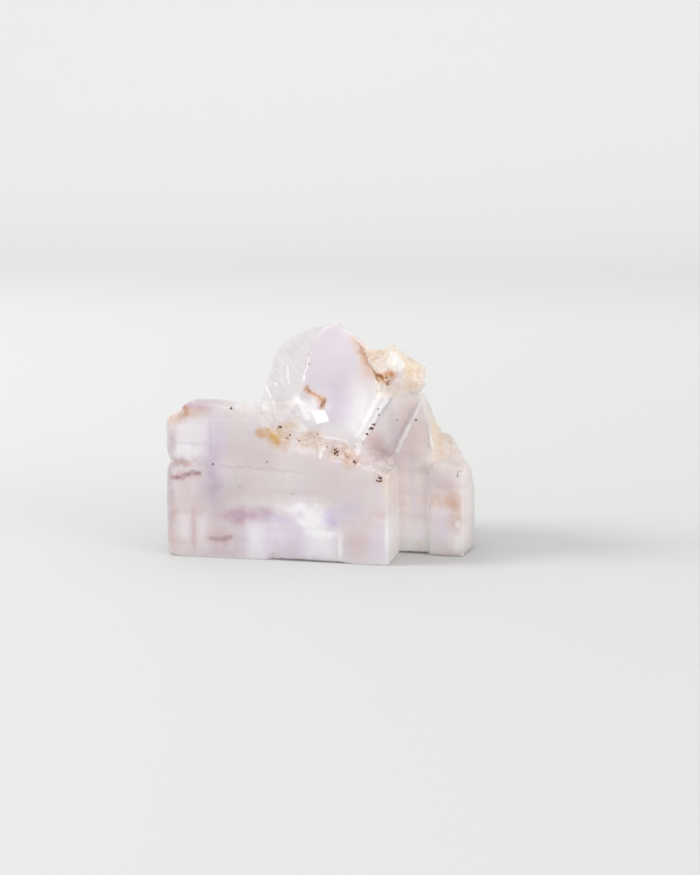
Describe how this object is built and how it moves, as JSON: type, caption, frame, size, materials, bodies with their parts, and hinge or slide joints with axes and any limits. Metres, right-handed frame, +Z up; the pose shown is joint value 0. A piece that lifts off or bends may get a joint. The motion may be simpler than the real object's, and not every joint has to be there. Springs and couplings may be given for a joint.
{
  "type": "fluorite crystal specimen",
  "caption": "Pale lilac translucent fluorite, cubic crystals grown into one another, standing on a flat cleaved foot.",
  "frame": {"origin": "middle of the specimen's bounding box, on the surface that it stands on", "axes": "+X along the clean front face to the right, +Y back from that face, +Z up"},
  "size_m": [0.0428, 0.022, 0.0333],
  "materials": {
    "fluorite": "satin, milky, faintly lilac, with yellow-brown iron staining along the broken edges"
  },
  "bodies": {
    "root": {"fluorite_crystal": "fluorite"}
  },
  "joints": []
}
